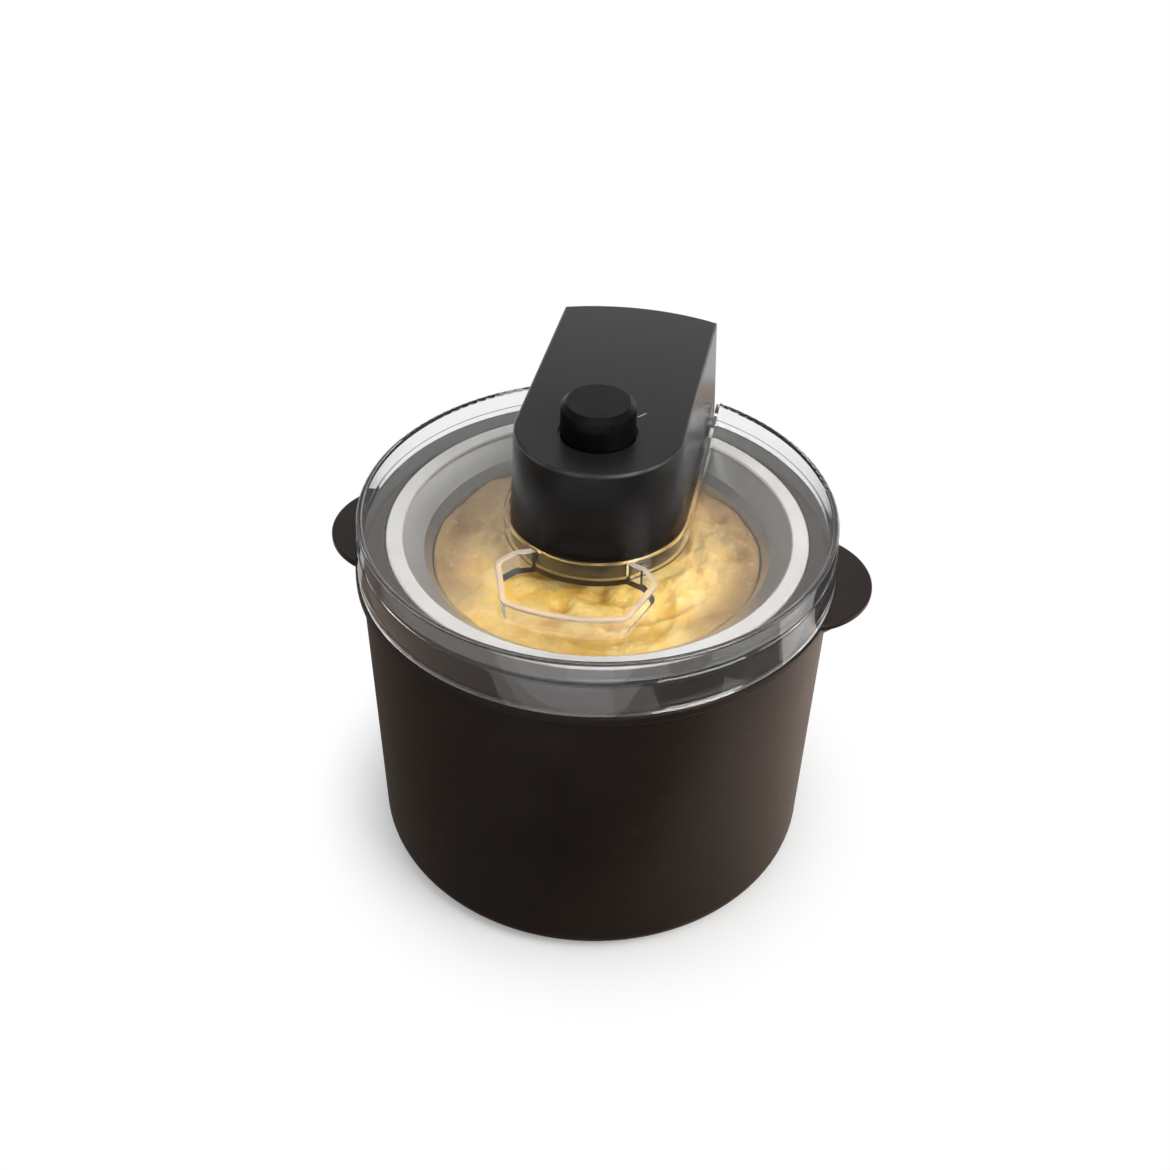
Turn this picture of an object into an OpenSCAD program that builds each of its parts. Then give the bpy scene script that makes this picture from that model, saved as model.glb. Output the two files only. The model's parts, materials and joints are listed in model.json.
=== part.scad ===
// Ice cream maker with a freezer bowl, a clear lid and a lift-off motor head.
// Frame: Z is the bowl's axis, Z = 0 is the table, the head's tail runs over +Y
// and the two handles lie on the X axis.

/* [Housing] */
// Radius of the housing's wall under the flange
housing_top_r = 100.5; // [90:0.1:112]
// How much narrower the wall is at its foot
housing_draft = 2.2; // [0.5:0.1:5]
// Height of the flange's top above the table
flange_z = 144.7; // [130:0.1:165]
// How far the flange stands out of the wall
flange_reach = 2.3; // [1.8:0.1:3]
// Thickness of the flange
flange_t = 4.2; // [3.6:0.1:6]
// Thickness of the housing's wall
housing_wall = 2.6; // [2:0.1:3]
// Rounding of the housing's lower edge
housing_round = 9; // [5:0.5:12]
// Height of the neck above the flange
neck_h = 13; // [11:0.1:16]
// Step from the wall in to the neck
neck_step = 1.9; // [1.6:0.1:2.4]
// Thickness of the neck and of the ledge round the bowl
ledge_t = 2.4; // [1.8:0.1:3]
// Depth of the collar that centres the bowl
collar_depth = 26; // [15:1:40]
// Radius of a half-moon handle
handle_r = 32.8; // [28:0.1:36]
// How far a handle stands out of the housing's wall
handle_out = 16.7; // [12:0.1:20]
// Thickness of a handle
handle_t = 3; // [2.4:0.1:4]
// Height of a handle's top above the flange
handle_rise = 0.9; // [0.4:0.1:1.4]
// Radius of a rubber foot
pad_r = 8; // [5:0.5:10]
// Height of a rubber foot
pad_h = 2.6; // [2:0.1:3]
// How far a rubber foot stands out of the base
pad_proud = 1.2; // [0.8:0.1:1.4]
// Distance of the feet in from the housing's wall
pad_inset = 24.3; // [20:0.1:45]

/* [Bowl] */
// Width of the ledge between the neck and the rim ring
ledge_w = 9.4; // [8.2:0.1:11]
// Width of the white rim ring
rim_w = 7.2; // [6.8:0.1:8.5]
// Thickness of the rim ring
rim_t = 2.2; // [1.6:0.1:2.8]
// How far the rim ring stands out over the bowl's outer shell
rim_overhang = 5.2; // [4.6:0.1:5.6]
// How much narrower the outer shell is at its foot
shell_draft = 4; // [1:0.1:7]
// Wall of the outer shell
shell_wall = 2; // [1.5:0.1:2.2]
// Height of the outer shell's foot above the table
shell_foot_z = 14; // [8:0.5:18]
// Height of the shell's flange
shell_flange_h = 4; // [3.4:0.1:5]
// Thickness of the liner
liner_t = 1.5; // [1:0.1:1.8]
// Height of the liner's floor above the shell's foot
liner_floor_rise = 18; // [12:0.5:24]
// Width of the funnel between the rim ring and the throat
funnel_w = 8.5; // [7:0.1:9.5]
// How much the throat narrows down to the liner's wall
throat_w = 3; // [2:0.1:5.5]
// How much narrower the liner is at its floor
liner_draft = 8; // [4.5:0.1:12.5]
// Depth of the funnel below the rim ring
funnel_depth = 6; // [5:0.1:8]
// Height of the throat between wall and funnel
throat_h = 4; // [3:0.1:6]
// Rounding between the liner's floor and wall
liner_round = 10; // [6:0.5:14]
// Thickness of the gasket under the liner's flange
gasket_t = 0.8; // [0.5:0.1:1.2]
// Air space above the cooling gel
gel_air = 7; // [4:0.5:15]
// Radius of the spigot that the paddle stands on
spigot_r = 3; // [2:0.1:4]
// Height of that spigot
spigot_h = 5; // [3:0.5:8]

/* [Lid] */
// Wall of the lid's skirt
skirt_wall = 2.2; // [1.6:0.1:2.4]
// Slip between the skirt's foot and the neck
skirt_slip = 1.2; // [0.8:0.1:1.5]
// Draft of the skirt over its height
skirt_draft = 0.7; // [0.3:0.1:0.8]
// Thickness of the lid's floor
lid_floor_t = 2; // [1.6:0.1:2.6]
// Height of the ring wall above the floor
ring_h = 10; // [7:0.5:14]
// Wall of the ring at its rim
ring_wall = 2.8; // [2:0.1:3.4]
// Clearance between the motor head and its recess
recess_gap = 0.9; // [0.5:0.1:1.5]
// Wall of the recess and of the filler chute
recess_wall = 1.7; // [1.4:0.1:2.2]
// Height of the recess wall above the floor
recess_h = 8.5; // [6:0.5:9.5]
// Radius of the paddle's bearing collar
bearing_collar_r = 11; // [10.5:0.1:14]
// Depth of that collar below the floor
bearing_depth = 4; // [2:0.5:6]

/* [Filler chute] */
// Distance of the chute's front edge in from the rim ring's mouth
chute_inset = 9.5; // [6:0.5:14]
// Half width of the chute at its widest
chute_half_w = 32; // [28:0.5:34]
// Rounding of the chute's corners
chute_round = 5; // [4:0.5:6]
// Height of the chute's rim above the floor
chute_h = 8.4; // [6:0.2:9.4]
// Width that the rim's bead stands out
bead_w = 0.8; // [0.4:0.1:1.2]
// Height of that bead
bead_h = 1.6; // [1:0.1:2.4]

/* [Paddle] */
// Radius of the paddle's hub in the lid
hub_r = 8; // [7.5:0.1:9]
// Thickness of the blades
blade_t = 3.2; // [2.4:0.1:4]
// Clearance between the blades and the liner
blade_gap = 2.5; // [1.5:0.1:4]
// Distance of the blades' top below the end of the liner's wall
blade_top_gap = 13; // [7:0.5:30]
// Bow of a blade seen from above
blade_bow = 11; // [8:0.5:12]
// Width of the blade's frame round its windows
blade_frame = 9; // [7:0.5:12]

/* [Motor head] */
// Half width of the head at its foot
head_foot_r = 37; // [36:0.1:39]
// How much narrower the head is at its top
head_draft = 2.2; // [0.5:0.1:2.5]
// Height of the head
head_h = 48.2; // [48:0.1:56]
// How far the tail's end stands out past the flange
tail_overhang = 0; // [-1.3:0.1:3.2]
// Wall of the head's cover
cover_wall = 2.4; // [2:0.1:2.8]
// Thickness of the cover's top
cover_top_t = 3.2; // [2.8:0.1:3.2]
// Rounding of the cover's upper edge
cover_round = 1.3; // [0.8:0.1:2]
// Thickness of the head's underside
base_t = 2.3; // [2:0.1:2.6]
// Radius of the recess round the knob
knob_well_r = 16.2; // [15.9:0.1:18]
// Depth of that recess
knob_well_d = 1.2; // [0.6:0.1:1.6]

/* [Knob] */
// Radius of the knob at its foot
knob_r = 15.4; // [14:0.1:15.6]
// Height of the knob above the recess floor
knob_h = 15.6; // [13:0.1:20]
// Height of the knob's bright bevel
knob_bevel_h = 2; // [1:0.1:3]
// Width of that bevel
knob_bevel_w = 2.4; // [1:0.1:4]
// Distance of the knob in front of the axis
knob_y = 3.5; // [2:0.1:5]
// Width of the pointer notch in the bevel
pointer_w = 2; // [1.2:0.1:3]
// Depth of that notch, down from the knob's top
pointer_depth = 1.3; // [0.6:0.1:2]

/* [Drive] */
// Radius of the drive shaft
shaft_r = 4; // [3.8:0.1:4.4]
// Width across the flats of the shaft's hexagon
hex_w = 7; // [6:0.1:7.4]
// Depth that the hexagon reaches into the paddle
hex_depth = 14; // [10:0.5:18]
// Module of the fast stage, before the train is fitted between shaft and motor
fast_module_wish = 0.7; // [0.6:0.05:0.8]
// Module of the middle stage, before it is fitted
middle_module_wish = 0.8; // [0.7:0.05:0.9]
// Module of the slow stage, before it is fitted
slow_module_wish = 0.9; // [0.8:0.05:1]
// Width of the slow gears
slow_face = 6; // [4:0.5:6]
// Width of the middle gears
middle_face = 5; // [3:0.5:5]
// Width of the fast gears
fast_face = 4; // [3:0.2:4]
// Radius of the motor's can
motor_r = 14; // [12:0.1:14.5]
// Length of the motor's can
motor_h = 29; // [24:0.5:30]

/* [Power inlet] */
// Radius of the bore for the lead
lead_r = 3.1; // [2.5:0.1:3.5]
// Height of the inlet above the head's foot
lead_rise = 15.7; // [15.2:0.1:20]

/* [Fits] */
// Gap where one part rests on another
seat_gap = 0.3; // [0.2:0.05:0.4]
// Radial clearance of a turning shaft
run_gap = 0.06; // [0.03:0.01:0.09]
// Radial clearance of a fixed pin
pin_gap = 0.02; // [0.01:0.01:0.05]
// Radial clearance of the bowl in the housing
bowl_gap = 0.4; // [0.3:0.05:0.6]
// Gap left between the teeth of two gears
backlash = 0.16; // [0.12:0.01:0.2]

/* [Hidden] */
$fn = 128;
eps = 0.01;

// Heights of the stack, from the table up
base_z = pad_proud;
flange_foot_z = flange_z - flange_t;
ledge_z = flange_z + neck_h;
lid_floor_z = ledge_z + seat_gap;
lid_top_z = lid_floor_z + lid_floor_t;
skirt_foot_z = flange_z + seat_gap;
ring_top_z = lid_top_z + ring_h;
rim_z = ledge_z - rim_t;
shell_flange_z = rim_z - shell_flange_h;
bowl_seat_z = shell_flange_z - seat_gap;
liner_floor_z = shell_foot_z + liner_floor_rise;
throat_z = rim_z - funnel_depth;
liner_wall_z = throat_z - throat_h;
head_z = lid_top_z + seat_gap;
head_top_z = head_z + head_h;
cover_z = head_z + base_t;
ceiling_z = head_top_z - cover_top_t;

// Radii that follow from one another, from the housing's wall inwards
flange_r = housing_top_r + flange_reach;
housing_foot_r = housing_top_r - housing_draft;
handle_reach = housing_top_r + handle_out;
pad_ring_r = housing_foot_r - pad_inset;
neck_r = housing_top_r - neck_step;
rim_r = neck_r - ledge_w;
rim_mouth_r = rim_r - rim_w;
shell_top_r = rim_r - rim_overhang;
shell_foot_r = shell_top_r - shell_draft;
throat_r = rim_mouth_r - funnel_w;
liner_wall_r = throat_r - throat_w;
liner_foot_r = liner_wall_r - liner_draft;
chute_front_r = rim_mouth_r - chute_inset;
head_back_r = flange_r + tail_overhang;
head_top_r = head_foot_r - head_draft;
seat_hole_r = shell_top_r + 2 * bowl_gap;
ledge_hole_r = rim_r + bowl_gap;
liner_flange_r = rim_r - 3.2;
skirt_r = neck_r + skirt_slip + skirt_wall;
ring_r = skirt_r - skirt_draft - 0.5;
recess_r = head_foot_r + recess_gap;
collar_r = recess_r + recess_wall;
hex_gap = 0.15;
plug_r = 5;
plug_head_r = 6.9;
spigot_gap = 0.15;

// Lead inlet and clamp, from the tail's end inwards
lead_z = head_z + lead_rise;
bush_r = lead_r + 2.4;
bush_flange_r = bush_r + 2.5;
pocket_depth = 1.5;
inlet_boss_r = bush_flange_r + 2.3;
inlet_boss_y = head_back_r - 6.7;
clamp_y = inlet_boss_y - 4.1;
clamp_half = [11, 2.2];
clamp_h = 5.5;
clamp_screw_x = 8;
motor_y = clamp_y - clamp_half[1] - 1.1 - motor_r;

// Gear train: tooth counts, modules fitted to the motor's place, axle places along Y
// and heights of the layers
pinion_teeth = 12;
fast_teeth = 54;
fast_small_teeth = 12;
slow_teeth = 45;
slow_small_teeth = 14;
output_teeth = 50;
output_hub_r = 8;
web_margin = 3;
slow_sum = slow_small_teeth + output_teeth;
middle_sum = fast_small_teeth + slow_teeth;
fast_sum = pinion_teeth + fast_teeth;
train_fit = 2 * motor_y
    / (slow_module_wish * slow_sum + middle_module_wish * middle_sum + fast_module_wish * fast_sum);
slow_module = slow_module_wish * train_fit;
middle_module = middle_module_wish * train_fit;
fast_module = fast_module_wish * train_fit;
slow_y = slow_module * slow_sum / 2;
fast_y = slow_y + middle_module * middle_sum / 2;
gear_plate_t = 2;
gear_plate_r = 19;
gear_plate_half_w = 16.5;
gear_plate_z = cover_z + 3.4;
bush_flange_t = 1.2;
hub_z = gear_plate_z + gear_plate_t + seat_gap;
output_gear_z = gear_plate_z + gear_plate_t + 4;
slow_big_z = output_gear_z + slow_face + 1;
motor_plate_t = 1.6;
fast_big_z = ceiling_z - 1.3 - fast_face;
motor_plate_z = fast_big_z - 0.4 - motor_plate_t;
slow_axle_r = 2;
fast_axle_r = 1.5;
motor_shaft_r = 1;

// Screws: radius of shank and head, height of head
screw_r = 1.4;
screw_head_r = 2.8;
screw_head_h = 1.8;
screw_gap = 0.1;
boss_r = 3.5;
cover_boss_foot_z = cover_z + 2.4;
counterbore_z = head_z + 2.6;
head_screw_l = 12;
plate_screw_l = 5.5;
motor_plate_screw_l = 9;
clamp_screw_l = 12;
front_screw_r = head_foot_r - 9.2;
tail_screw_x = head_foot_r - 9.5;
tail_screw_y = head_back_r - 11.8;
plate_post_r = gear_plate_r - 3.8;
plate_post_x = gear_plate_half_w - 4.5;
plate_post_y = fast_y + 4.4;
motor_post_x = motor_r + 8;
motor_post_y = [fast_y + 8.4, motor_y + 11.3];
head_screw_places = concat(
    [for (a = [-30, -150]) front_screw_r * [cos(a), sin(a)]],
    [for (x = [tail_screw_x, -tail_screw_x]) [x, tail_screw_y]]
);
plate_post_places = concat(
    [for (a = [-43, -137]) plate_post_r * [cos(a), sin(a)]],
    [for (x = [plate_post_x, -plate_post_x]) [x, plate_post_y]]
);
motor_post_places = [for (y = motor_post_y, x = [motor_post_x, -motor_post_x]) [x, y]];
motor_screw_x = 8;

// Motor, from its can inwards
can_wall = 1;
magnet_t = 2.2;
magnet_inset = 4;
magnet_l = motor_h - 2 * magnet_inset - 1;
rotor_inset = 6;
rotor_l = motor_h - 2 * rotor_inset - 1;
cap_h = 2.6;

// Switch under the knob, and the shaft's seal
switch_r = 11;
switch_h = 14;
switch_bush_r = 4.8;
spindle_r = 2.5;
nut_h = 2;
well_floor_z = head_top_z - knob_well_d;
seal_r = 7;

// Power board beside the motor
board_x = head_foot_r - 11;
board_t = 1.6;
capacitor_r = 4.5;
capacitor_l = 8.2;
fuse_r = 2.4;
fuse_l = 12;
rectifier = [3.2, 8, 3.5];
board_y0 = motor_y - 11;
board_y1 = motor_y + 8;
board_z = head_z + 3.2;
board_h = 28;

// Gear teeth
pressure_angle = 25;
addendum = 0.8;
dedendum = 1.05;

// ---------------------------------------------------------------- shared shapes

// Rectangle with rounded corners, made of arcs and straight lines
module soft_rect(x0, y0, x1, y1, r) {
    translate([x0 + r, y0])
        square([x1 - x0 - 2 * r, y1 - y0]);
    translate([x0, y0 + r])
        square([x1 - x0, y1 - y0 - 2 * r]);
    for (x = [x0 + r, x1 - r], y = [y0 + r, y1 - r])
        translate([x, y])
            circle(r = r, $fn = 48);
}

// Half section of a cup from the axis out, with a rounded lower corner
module cup_section(foot_r, top_r, foot_z, top_z, round_r, inset = 0, over = 0) {
    r0 = foot_r - inset;
    r1 = top_r - inset;
    z0 = foot_z + inset;
    rr = round_r - inset;
    polygon([
        [0, z0], [r0 - rr, z0], [r0, z0 + rr], [r1, top_z], [r1, top_z + over], [0, top_z + over]
    ]);
    translate([r0 - rr, z0 + rr])
        circle(r = rr);
}

// Ring from inner radius a to outer radius b between two heights
module ring(a, b, z0, z1) {
    difference() {
        translate([0, 0, z0])
            cylinder(r = b, h = z1 - z0);
        translate([0, 0, z0 - 1])
            cylinder(r = a, h = z1 - z0 + 2);
    }
}

// Upright rod at a place on the plan
module rod(place, r, z0, z1, sides = 48) {
    translate([place[0], place[1], z0])
        cylinder(r = r, h = z1 - z0, $fn = sides);
}

// Pan head screw standing in a hole, its head resting at seat_z
module screw(place, seat_z, length, down = true, r = screw_r, head_r = screw_head_r) {
    sign = down ? 1 : -1;
    rod(place, r, min(seat_z, seat_z - sign * length), max(seat_z, seat_z - sign * length), 32);
    rod(place, head_r, min(seat_z, seat_z + sign * screw_head_h),
        max(seat_z, seat_z + sign * screw_head_h), 32);
}

// ---------------------------------------------------------------- gears

function involute(base_r, roll) =
    base_r * [cos(roll) + roll * PI / 180 * sin(roll), sin(roll) - roll * PI / 180 * cos(roll)];
function roll_at(base_r, r) = sqrt(max((r / base_r) * (r / base_r) - 1, 0)) * 180 / PI;
function polar(p) = atan2(p[1], p[0]);

// Outline of an involute gear with one tooth centred on angle "turn"
module gear_outline(teeth, gear_module, turn) {
    pitch_r = teeth * gear_module / 2;
    base_r = pitch_r * cos(pressure_angle);
    tip_r = pitch_r + addendum * gear_module;
    root_r = pitch_r - dedendum * gear_module;
    start_r = max(base_r, root_r);
    half_tooth = 90 / teeth - backlash / 2 / pitch_r * 180 / PI;
    pitch_turn = polar(involute(base_r, roll_at(base_r, pitch_r)));
    steps = 5;
    flank = [
        for (i = [0 : steps])
            let (r = start_r + (tip_r - start_r) * i / steps)
            let (a = polar(involute(base_r, roll_at(base_r, r))))
            [r, half_tooth + pitch_turn - a]
    ];
    points = [
        for (k = [0 : teeth - 1])
            let (mid = turn + k * 360 / teeth)
            each concat(
                [root_r * [cos(mid - flank[0][1]), sin(mid - flank[0][1])]],
                [for (f = flank) f[0] * [cos(mid - f[1]), sin(mid - f[1])]],
                [for (i = [steps : -1 : 0])
                    flank[i][0] * [cos(mid + flank[i][1]), sin(mid + flank[i][1])]],
                [root_r * [cos(mid + flank[0][1]), sin(mid + flank[0][1])]]
            )
    ];
    polygon(points);
}

module gear(teeth, gear_module, z, face, turn) {
    translate([0, 0, z])
        linear_extrude(face)
            gear_outline(teeth, gear_module, turn);
}

// ---------------------------------------------------------------- housing

module handle_plate() {
    centre_x = handle_reach - handle_r;
    top = flange_z + handle_rise;
    translate([centre_x, 0, 0]) {
        rotate_extrude()
            difference() {
                soft_rect(-handle_r, top - handle_t, handle_r, top, 0.9);
                translate([-handle_r - 1, top - handle_t - 1])
                    square([handle_r + 1, handle_t + 2]);
            }
        // Finger skirt under the plate, set back from its edge
        rotate_extrude()
            polygon([
                [handle_r - 6, top - handle_t + eps], [handle_r - 3.8, top - handle_t + eps],
                [handle_r - 9.4, top - handle_t - 10], [handle_r - 11.6, top - handle_t - 10]
            ]);
    }
}

module housing_profile() {
    difference() {
        cup_section(housing_foot_r, housing_top_r, base_z, flange_foot_z + 1, housing_round);
        cup_section(housing_foot_r, housing_top_r, base_z, flange_foot_z + 1, housing_round,
            housing_wall, 1);
    }
    soft_rect(neck_r - ledge_t, flange_foot_z, flange_r, flange_z, 0.8);
    soft_rect(neck_r - ledge_t, flange_foot_z + 1, neck_r, ledge_z, 0.7);
    soft_rect(ledge_hole_r, ledge_z - ledge_t, neck_r, ledge_z, 0.7);
    soft_rect(ledge_hole_r, bowl_seat_z - ledge_t, ledge_hole_r + ledge_t, ledge_z, 0.7);
    soft_rect(seat_hole_r, bowl_seat_z - ledge_t, ledge_hole_r + ledge_t, bowl_seat_z, 0.7);
    soft_rect(seat_hole_r, bowl_seat_z - collar_depth, seat_hole_r + ledge_t, bowl_seat_z, 0.7);
}

module pad_places() {
    for (a = [45 : 90 : 315])
        rotate([0, 0, a])
            translate([pad_ring_r, 0, 0])
                children();
}

module outer_housing() {
    pad_top_z = pad_h;
    color([0.07, 0.06, 0.06])
    difference() {
        union() {
            rotate_extrude()
                housing_profile();
            for (side = [0, 180])
                rotate([0, 0, side])
                    difference() {
                        handle_plate();
                        rod([0, 0], housing_top_r - housing_wall / 2, 0, ledge_z, 128);
                        rod([0, 0], skirt_r + seat_gap + 0.2, flange_z, ledge_z, 128);
                    }
            pad_places()
                rod([0, 0], pad_r + 2, base_z + 1, pad_top_z + housing_wall);
        }
        pad_places()
            rod([0, 0], pad_r + 0.2, 0, pad_top_z);
    }
}

module rubber_feet() {
    color([0.12, 0.12, 0.12])
    pad_places()
        difference() {
            rod([0, 0], pad_r, 0, pad_h);
            rod([0, 0], pad_r * 0.55, -1, pad_proud * 0.5);
        }
}

// ---------------------------------------------------------------- bowl

// Half section of the hollow of the liner, moved out and down by grow
module liner_hollow(grow = 0, over = 0) {
    cup_section(liner_foot_r + grow, liner_wall_r + grow, liner_floor_z - grow,
        liner_wall_z - grow, liner_round);
    polygon([
        [0, liner_wall_z - grow - 1], [liner_wall_r + grow - 0.1, liner_wall_z - grow - 1],
        [liner_wall_r + grow, liner_wall_z - grow], [throat_r + grow, throat_z - grow],
        [rim_mouth_r + 0.5 + grow, rim_z - grow], [rim_mouth_r + 0.5 + grow, rim_z - grow + over],
        [0, rim_z - grow + over]
    ]);
}

module shell_cup(inset = 0, over = 0) {
    cup_section(shell_foot_r, shell_top_r, shell_foot_z, shell_flange_z, 10, inset, over);
}

module bowl_shell() {
    plug_z = shell_foot_z;
    gasket_z = rim_z - liner_t - gasket_t;
    color([0.9, 0.9, 0.88])
    difference() {
        rotate_extrude()
            difference() {
                union() {
                    shell_cup(0, 0);
                    soft_rect(shell_top_r - shell_wall - 2, shell_flange_z, rim_r - 0.3, rim_z, 0.6);
                }
                shell_cup(shell_wall, 1);
                translate([0, gasket_z])
                    square([liner_flange_r + 0.2, rim_z]);
                liner_hollow(liner_t + 0.2, 3);
            }
        rod([0, 0], plug_head_r + 0.1, plug_z - 1, plug_z + 1);
        rod([0, 0], plug_r, plug_z - 1, plug_z + shell_wall + 1);
    }
}

module bowl_liner() {
    color([0.72, 0.72, 0.73]) {
        rotate_extrude()
            difference() {
                union() {
                    liner_hollow(liner_t);
                    translate([0, rim_z - liner_t])
                        square([liner_flange_r, liner_t]);
                }
                liner_hollow(0, 1);
            }
        rod([0, 0], spigot_r, liner_floor_z - liner_t / 2, liner_floor_z + spigot_h);
    }
}

module bowl_rim() {
    color([0.93, 0.92, 0.9])
    rotate_extrude()
        soft_rect(rim_mouth_r, rim_z, rim_r, ledge_z, 1);
}

module bowl_gasket() {
    color([0.3, 0.3, 0.32])
    ring(rim_mouth_r + 0.5 + liner_t + 0.2, liner_flange_r, rim_z - liner_t - gasket_t,
        rim_z - liner_t);
}

module cooling_gel() {
    color([0.45, 0.65, 0.85])
    difference() {
        rotate_extrude()
            difference() {
                intersection() {
                    shell_cup(shell_wall + 0.1, 0);
                    square([rim_r, rim_z - gel_air]);
                }
                liner_hollow(liner_t + 0.1);
            }
        rod([0, 0], plug_r + 0.4, shell_foot_z, shell_foot_z + shell_wall + 2.4);
    }
}

module fill_plug() {
    color([0.8, 0.8, 0.78]) {
        rod([0, 0], plug_head_r, shell_foot_z, shell_foot_z + 1);
        rod([0, 0], plug_r - pin_gap, shell_foot_z + 0.5, shell_foot_z + shell_wall + 2);
    }
}

// ---------------------------------------------------------------- lid

// Plan of the recess for the head: a half circle in front, straight sides to the rear
module recess_plan(r) {
    circle(r = r);
    translate([-r, 0])
        square([2 * r, skirt_r]);
}

// Centres of the chute's rounded corners, from its right front corner round to the left one
chute_front_x = chute_half_w - 11.5;
chute_front_y = -sqrt(pow(chute_front_r - chute_round, 2) - pow(chute_front_x, 2));
chute_side_x = chute_half_w - chute_round;
chute_right = [
    [chute_front_x, chute_front_y], [chute_side_x, -collar_r - 5.9],
    [chute_side_x - 3.5, -collar_r - 0.9], [chute_side_x - 12, 2.6 - collar_r]
];
chute_centres = concat(
    chute_right, [for (i = [3 : -1 : 0]) [-chute_right[i][0], chute_right[i][1]]]
);

// Plan of the filler chute: rounded corners, straight sides and a curved front edge
module chute_plan(r, front_r) {
    last = len(chute_centres) - 1;
    for (c = chute_centres)
        translate(c)
            circle(r = r, $fn = 48);
    polygon([
        for (i = [0 : last - 1])
            let (a = chute_centres[i], b = chute_centres[i + 1], d = (b - a) / norm(b - a))
            each [a + r * [d[1], -d[0]], b + r * [d[1], -d[0]]]
    ]);
    // From the front corners' centres out to the curve, and the wedge reaches well past it
    intersection() {
        circle(r = front_r);
        polygon([
            chute_centres[0], chute_centres[last], 1.2 * chute_centres[last], 1.2 * chute_centres[0]
        ]);
    }
}

module lid_profile() {
    step_z = lid_top_z + 0.2;
    inner_foot_r = skirt_r - skirt_wall;
    inner_top_r = inner_foot_r - skirt_draft / 2;
    difference() {
        union() {
            polygon([
                [inner_foot_r, skirt_foot_z], [skirt_r, skirt_foot_z],
                [skirt_r - skirt_draft, step_z], [ring_r, step_z + 0.5],
                [0, step_z + 0.5], [0, lid_floor_z], [inner_top_r, lid_floor_z]
            ]);
            polygon([
                [ring_r - ring_wall - 0.3, lid_floor_z], [ring_r, lid_floor_z],
                [ring_r - 0.2, ring_top_z - 1], [ring_r - ring_wall, ring_top_z - 1]
            ]);
            soft_rect(ring_r - ring_wall, ring_top_z - 2.6, ring_r - 0.2, ring_top_z, 1.2);
        }
        translate([-1, lid_top_z])
            square([ring_r - ring_wall - 0.3 + 1, 1]);
    }
}

module chute_bead() {
    translate([0, 0, lid_top_z + chute_h - bead_h])
        linear_extrude(bead_h)
            chute_plan(chute_round + bead_w, chute_front_r + bead_w);
}

module lid() {
    color([0.85, 0.87, 0.88, 0.35])
    difference() {
        union() {
            // Skirt, floor and ring, opened at the rear for the head's tail
            difference() {
                rotate_extrude()
                    lid_profile();
                translate([-collar_r, 0, lid_top_z])
                    cube([2 * collar_r, skirt_r + 5, ring_h + 2]);
            }
            // Wall of the recess
            intersection() {
                translate([0, 0, lid_floor_z])
                    linear_extrude(lid_floor_t + recess_h)
                        difference() {
                            recess_plan(collar_r);
                            recess_plan(recess_r);
                        }
                rod([0, 0], ring_r - 0.2, 0, head_top_z, 128);
            }
            // Walls of the filler chute
            difference() {
                union() {
                    translate([0, 0, lid_floor_z])
                        linear_extrude(lid_floor_t + chute_h)
                            chute_plan(chute_round, chute_front_r);
                    chute_bead();
                }
                rod([0, 0], recess_r + recess_wall / 2, lid_top_z, head_top_z, 128);
            }
            rod([0, 0], bearing_collar_r, lid_floor_z - bearing_depth, lid_top_z);
        }
        // The chute's well goes right through, its back is the recess wall
        translate([0, 0, lid_floor_z - 1])
            linear_extrude(ring_h + lid_floor_t + 3)
                difference() {
                    chute_plan(chute_round - recess_wall, chute_front_r - recess_wall);
                    circle(r = collar_r);
                }
        rod([0, 0], hub_r + run_gap, lid_floor_z - bearing_depth - 1, lid_top_z + 1);
    }
}

// ---------------------------------------------------------------- paddle

module blade_plan() {
    reach = liner_foot_r;
    drop = (reach * reach / 4 - blade_bow * blade_bow) / (2 * blade_bow);
    arc_r = drop + blade_bow;
    intersection() {
        translate([reach / 2, -drop])
            difference() {
                circle(r = arc_r + blade_t / 2);
                circle(r = arc_r - blade_t / 2);
            }
        translate([0, -3])
            square([reach + 10, arc_r]);
    }
}

module blade_windows(z0, z1) {
    x0 = hub_r + blade_frame;
    x1 = liner_foot_r - blade_gap - blade_frame;
    half = (z1 - z0 - 3 * blade_frame) / 2;
    for (z = [z0 + blade_frame, z0 + 2 * blade_frame + half])
        translate([0, 40, 0])
            rotate([90, 0, 0])
                linear_extrude(80)
                    soft_rect(x0, z, x1, z + half, 5);
}

module paddle() {
    foot_z = liner_floor_z + seat_gap;
    blade_foot_z = liner_floor_z + blade_gap;
    blade_top_z = liner_wall_z - blade_top_gap;
    thrust_z = lid_floor_z - bearing_depth - seat_gap;
    socket_z = head_z - hex_depth - 1;
    color([0.88, 0.88, 0.86])
    difference() {
        union() {
            rod([0, 0], hub_r + 1, foot_z, blade_top_z + 4);
            rod([0, 0], hub_r, foot_z + 1, lid_top_z);
            rod([0, 0], bearing_collar_r - 0.5, thrust_z - 2.5, thrust_z);
            for (side = [0, 180])
                rotate([0, 0, side])
                    intersection() {
                        difference() {
                            translate([0, 0, blade_foot_z])
                                linear_extrude(blade_top_z - blade_foot_z)
                                    blade_plan();
                            blade_windows(blade_foot_z, blade_top_z);
                        }
                        rotate_extrude()
                            cup_section(liner_foot_r, liner_wall_r, liner_floor_z, liner_wall_z,
                                liner_round, blade_gap);
                    }
        }
        rod([0, 0], spigot_r + spigot_gap, foot_z - 1, liner_floor_z + spigot_h + 1);
        rod([0, 0], (hex_w / 2 + hex_gap) / cos(30), socket_z, lid_top_z + 1, 6);
        rod([0, 0], shaft_r + 0.4, lid_top_z - 2.5, lid_top_z + 1);
    }
}

// ---------------------------------------------------------------- motor head

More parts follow.
